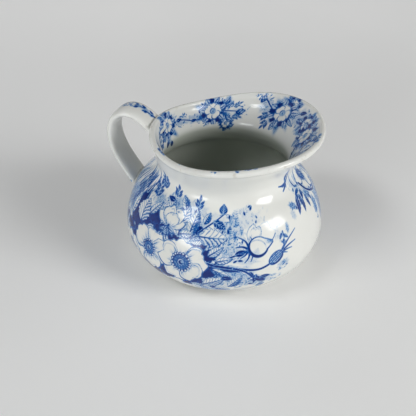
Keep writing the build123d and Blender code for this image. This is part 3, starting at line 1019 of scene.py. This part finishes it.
# ---- The slip joints: coves of slip between strap and wall
def slip_ring(name, from_start, on_strap, on_wall):
    """A closed cove of slip round one end of the strap, with its widths on the strap and on the wall."""
    order = np.arange(len(shares)) if from_start else np.arange(len(shares))[::-1]
    meet, up_strap = [], []
    for j in range(STRAP_AROUND):
        line_depth = depth[order, j]
        first = int(np.flatnonzero(line_depth > 0)[0])
        before = max(first - 1, 0)
        share = line_depth[first] / (line_depth[first] - line_depth[before] + 1e-9)
        crossing = strap[order[first], j] * (1 - share) + strap[order[before], j] * share
        path = strap[order[first:], j]
        meet.append(crossing)
        up_strap.append([np.interp(on_strap, knots_of(path), path[:, axis]) for axis in range(3)])
    meet, up_strap = np.array(meet), np.array(up_strap)
    middle = meet.mean(0)
    sections = []
    for j in range(STRAP_AROUND):
        ahead = meet[(j + 1) % STRAP_AROUND] - meet[j - 1]
        _, facing, _ = off_wall(meet[j])
        facing = np.array(facing)
        out = np.cross(ahead, facing)
        out /= np.linalg.norm(out) + 1e-9
        if np.dot(out, meet[j] - middle) < 0:
            out = -out
        spot = np.array(off_wall(meet[j] + out * on_wall)[0])
        turns = np.linspace(0, 1, 8)
        arc = [(1 - t) ** 2 * up_strap[j] + 2 * t * (1 - t) * meet[j] + t**2 * spot for t in turns]
        hidden = meet[j] - facing * 0.6 + (middle - meet[j]) * 0.03
        sections.append([up_strap[j] * 0.98 + hidden * 0.02, *arc, spot * 0.98 + hidden * 0.02, hidden])
    sections = np.array(sections)
    return mesh_object(name, sections.reshape(-1, 3), grid_faces(STRAP_AROUND, sections.shape[1], True))


upper_slip = slip_ring("slip_joint_at_rim", True, 0.9, 0.9)
lower_slip = slip_ring("slip_joint_at_belly", False, 1.2, 1.3)


# ---- Materials
PORCELAIN = (0.730, 0.735, 0.706, 1)
PORCELAIN_WARM = (0.690, 0.688, 0.646, 1)
CAVITY_SHADE = (0.57, 0.60, 0.54, 1)           # painted shade: the inside, down in the belly
CAVITY_SHADE_AT_THROAT = (0.40, 0.425, 0.375, 1)    # painted shade: the inside, darker where it starts near the throat
INK_BY_THICKNESS = (        # what cobalt lets through: the thinnest, the thickest, then those between
    (0.0, (1.0, 1.0, 1.0)),
    (1.0, (0.0, 0.020, 0.205)),
    (0.14, (0.36, 0.535, 0.82)),
    (0.26, (0.13, 0.32, 0.68)),
    (0.42, (0.014, 0.157, 0.53)),
    (0.66, (0.0, 0.067, 0.385)),
)
BARE_CLAY = (0.62, 0.57, 0.48, 1)


class Nodes:
    """Short hands for building the node tree of a material or a world."""

    def __init__(self, owner):
        owner.use_nodes = True
        self.tree = owner.node_tree
        self.shader = next(n for n in self.tree.nodes if n.type in ("BSDF_PRINCIPLED", "BACKGROUND"))

    def put(self, value, socket):
        if isinstance(value, bpy.types.NodeSocket):
            self.tree.links.new(value, socket)
        else:
            socket.default_value = value

    def give(self, value, *inputs):
        for name in inputs:
            self.put(value, self.shader.inputs[name])

    def add(self, kind, inputs, output=0, **settings):
        """One output of a new node, with values or links for some of its inputs."""
        node = self.tree.nodes.new(kind)
        for key, value in settings.items():
            setattr(node, key, value)
        for key, value in inputs.items():
            self.put(value, node.inputs[key])
        return node.outputs[output]

    def field(self, name):
        return self.add("ShaderNodeAttribute", {}, "Fac", attribute_name=name)

    def where(self, kind="Object"):
        return self.add("ShaderNodeTexCoord", {}, kind)

    def math(self, operation, a, b):
        return self.add("ShaderNodeMath", {0: a, 1: b}, operation=operation)

    def steps(self, value, low, high, to_low=0.0, to_high=1.0):
        inputs = dict(enumerate((value, low, high, to_low, to_high)))
        return self.add("ShaderNodeMapRange", inputs, interpolation_type="SMOOTHSTEP")

    def mix(self, share, a, b, blend="MIX"):
        return self.add("ShaderNodeMix", {0: share, 6: a, 7: b}, 2, data_type="RGBA", blend_type=blend)

    def noise(self, scale, detail=2.0, rough=0.5):
        inputs = {"Vector": self.where(), "Scale": scale, "Detail": detail, "Roughness": rough}
        return self.add("ShaderNodeTexNoise", inputs, "Fac")

    def dots(self, scale):
        inputs = {"Vector": self.where(), "Scale": scale}
        return self.add("ShaderNodeTexVoronoi", inputs, "Distance", feature="F1")

    def bump(self, value, strength, distance):
        inputs = {"Strength": strength, "Distance": distance, "Height": value}
        return self.add("ShaderNodeBump", inputs, "Normal")

    def by_thickness(self, value, stops):
        colour = self.add("ShaderNodeValToRGB", {0: value})
        ramp_points = colour.node.color_ramp.elements
        for k, (position, tint) in enumerate(stops):
            point = ramp_points[k] if k < 2 else ramp_points.new(position)
            point.position = position
            point.color = (*tint, 1)
        return colour


def glazed_porcelain(n):
    """White porcelain with blue print under a clear gloss glaze."""
    patchy = n.noise(45, 3)
    white = n.mix(n.steps(patchy, 0.35, 0.75, 0.0, 0.30), PORCELAIN, PORCELAIN_WARM)
    specks = n.steps(n.dots(230), 0.0, 0.075, 0.55, 0.0)
    rare = n.steps(n.noise(60, 1), 0.60, 0.66)
    white = n.mix(n.math("MULTIPLY", specks, rare), white, (0.30, 0.25, 0.18, 1))
    # grime and painted shade in a band just outside the lip's top
    lip_dirt_and_shade = n.math("MULTIPLY", n.field("lip"), n.steps(n.noise(320, 3), 0.56, 0.70, 0.0, 0.45))
    white = n.mix(lip_dirt_and_shade, white, (0.42, 0.36, 0.27, 1))
    # painted shade of the cavity, darker near the throat than down in the belly
    cavity_shade_colour = n.mix(n.steps(n.field("inside"), 0.2, 1.0), CAVITY_SHADE_AT_THROAT, CAVITY_SHADE)
    white = n.mix(n.steps(n.field("inside"), 0.0, 0.2), white, cavity_shade_colour)

    line = n.field("line")
    wash = n.field("wash")
    grain = n.noise(900, 2, 0.6)
    uneven = n.noise(260, 2)
    dotted = n.steps(n.math("SUBTRACT", wash, n.math("MULTIPLY", n.dots(1400), 1.1)), -0.15, 0.20, 0.25, 0.60)
    half_tone = n.math("MULTIPLY", n.steps(wash, 0.0, 1.0), dotted)
    bleed = n.steps(line, 0.05, 0.48, 0.0, 0.20)
    drawn = n.steps(n.math("ADD", line, n.math("MULTIPLY", n.math("SUBTRACT", grain, 0.5), 0.2)), 0.40, 0.60)
    thick = n.math("MULTIPLY", n.steps(line, 0.55, 0.98, 0.62, 1.0), n.steps(uneven, 0.2, 0.6, 0.82, 1.0))
    full = n.math("MULTIPLY", drawn, thick)
    ink = n.math("MAXIMUM", n.math("MAXIMUM", half_tone, bleed), full)
    tone = n.mix(1.0, white, n.by_thickness(ink, INK_BY_THICKNESS), "MULTIPLY")
    n.give(n.mix(n.field("glazed"), BARE_CLAY, tone), "Base Color")

    gloss = n.steps(n.noise(70, 4), 0.3, 0.75, 0.10, 0.20)
    n.give(n.mix(n.field("glazed"), (0.65, 0.65, 0.65, 1), gloss), "Roughness")
    n.give(1.42, "IOR")
    n.give(0.08, "Coat Weight")
    n.give(0.03, "Coat Roughness")
    ripple = n.math("ADD", n.noise(38, 2), n.math("MULTIPLY", n.noise(420, 2), 0.05))
    n.give(n.bump(ripple, 0.35, 0.0011), "Normal", "Coat Normal")


def slip_porcelain(n):
    """The slip of the joints: the same glaze, painted greyer than the wall, in patches, as shade in the cove.
    """
    shade_patches = n.steps(n.noise(520, 3), 0.35, 0.7)
    # painted shade: both greys are darker than the porcelain of the wall
    colour = n.mix(shade_patches, (0.60, 0.605, 0.575, 1), (0.47, 0.47, 0.44, 1))
    pits = n.steps(n.dots(900), 0.0, 0.10, 0.4, 0.0)
    colour = n.mix(pits, colour, (0.36, 0.33, 0.28, 1))
    n.give(colour, "Base Color")
    n.give(n.steps(n.noise(200, 2), 0.3, 0.7, 0.12, 0.24), "Roughness")
    n.give(0.6, "Coat Weight")
    n.give(0.05, "Coat Roughness")
    n.give(n.bump(n.noise(650, 3), 0.3, 0.0003), "Normal")


def table_top(n):
    """A plain pale surface with a soft sheen."""
    colour = n.mix(n.steps(n.noise(3, 3), 0.3, 0.7), (0.89, 0.892, 0.888, 1), (0.91, 0.912, 0.908, 1))
    n.give(colour, "Base Color")
    n.give(n.steps(n.noise(9, 3), 0.2, 0.8, 0.40, 0.44), "Roughness")
    n.give(0.35, "Specular IOR Level")


def material(name, fill):
    """A new material, filled in by a function of its nodes."""
    new = bpy.data.materials.new(name)
    fill(Nodes(new))
    return new


materials = {
    "printed_porcelain": material("printed_porcelain", glazed_porcelain),
    "glazed_slip": material("glazed_slip", slip_porcelain),
}
for piece, node, slot in (
    (body, "jug_body", "printed_porcelain"),
    (handle, "strap_handle", "printed_porcelain"),
    (upper_slip, "upper_slip_joint", "glazed_slip"),
    (lower_slip, "lower_slip_joint", "glazed_slip"),
):
    piece.data.materials.append(materials[slot])
    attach(piece, "root")
    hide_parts(node)

# ---- Floor, light and camera
TABLE_HALF = 2500
corners = [(x * TABLE_HALF, y * TABLE_HALF, 0) for x, y in ((-1, -1), (1, -1), (1, 1), (-1, 1))]
floor = mesh_object("table", corners, [[0, 1, 2, 3]])
floor.data.materials.append(material("pale_table", table_top))

WARM = (1.0, 0.998, 0.985)
COOL = (0.975, 0.99, 0.995)
WHITE = (1, 1, 1)
WALL_LIGHT = 0.36           # brightness of the plain surroundings at the horizon and overhead
CEILING_LIGHT = 0.10
LIGHT_AIM = Vector((0, 0, 0.04))
TARGET_HEIGHT = 0.0254      # height of the point that the camera looks at
CAMERA_AZIMUTH = 16.5
CAMERA_ELEVATION = 36.0
CAMERA_DISTANCE = 0.298
SIDE_STEP = -0.0091         # how far that point is to the right of the jug's axis
SENSOR_WIDTH = 36           # of the camera, in millimetres like its focal length
FOCAL_LENGTH = 45


def away(azimuth, elevation):
    """The direction from the object towards a place seen at that azimuth and elevation in degrees."""
    a, e = math.radians(azimuth), math.radians(elevation)
    return Vector((math.sin(a) * math.cos(e), -math.cos(a) * math.cos(e), math.sin(e)))


def area_light(name, azimuth, elevation, distance, width, tall, power, colour):
    light = bpy.data.lights.new(name, "AREA")
    light.shape = "RECTANGLE"
    light.size, light.size_y = width, tall
    light.energy = power
    light.color = colour
    lamp = placed(name, light)
    lamp.location = away(azimuth, elevation) * distance + LIGHT_AIM
    lamp.rotation_mode = "QUATERNION"
    lamp.rotation_quaternion = (-away(azimuth, elevation)).to_track_quat("-Z", "Y")
    return lamp


for row in (
    ("window_right", 79, 27, 1.2, 0.44, 0.46, 7.6, WARM),
    ("window_right_glow", 94, 16, 1.2, 1.60, 0.80, 3.3, WARM),
    ("window_front", -42, 50, 1.3, 0.44, 0.28, 3.6, COOL),
    ("front_low", -21, 8.5, 1.3, 0.58, 0.34, 5.4, COOL),
    ("front_left", -56, 12, 1.3, 1.60, 0.80, 1.4, COOL),
    ("behind_left", 225, 35, 1.3, 1.00, 1.00, 1.6, WHITE),
):
    area_light(*row)
# one more behind the jug lights the far part of the table, away from the camera
straight_back = CAMERA_AZIMUTH + 180
backdrop = area_light("backdrop", straight_back, 38, 0.70, 1.40, 0.30, 1.6, WHITE)
backdrop.rotation_quaternion = (away(straight_back, 0) * 0.6 - Vector((0, 0, 0.8))).to_track_quat("-Z", "Y")

world = bpy.data.worlds.new("studio")
surroundings = Nodes(world)
upward = surroundings.add("ShaderNodeSeparateXYZ", {0: surroundings.where("Generated")}, "Z")
surroundings.give((1.0, 1.0, 0.995, 1), "Color")
surroundings.give(surroundings.steps(upward, 0.02, 0.40, WALL_LIGHT, CEILING_LIGHT), "Strength")
bpy.context.scene.world = world
bpy.context.scene.view_settings.view_transform = "Standard"

camera_data = bpy.data.cameras.new("camera")
camera_data.sensor_width = SENSOR_WIDTH
camera_data.lens = FOCAL_LENGTH
camera = placed("camera", camera_data)
back = away(CAMERA_AZIMUTH, CAMERA_ELEVATION)
right = away(CAMERA_AZIMUTH + 90, 0)
up = back.cross(right)
place = Vector((0, 0, TARGET_HEIGHT)) + right * SIDE_STEP + back * CAMERA_DISTANCE
camera.matrix_world = Matrix.Translation(place) @ Matrix((right, up, back)).transposed().to_4x4()
camera_data.clip_start = 0.01
camera_data.clip_end = 20
bpy.context.scene.camera = camera
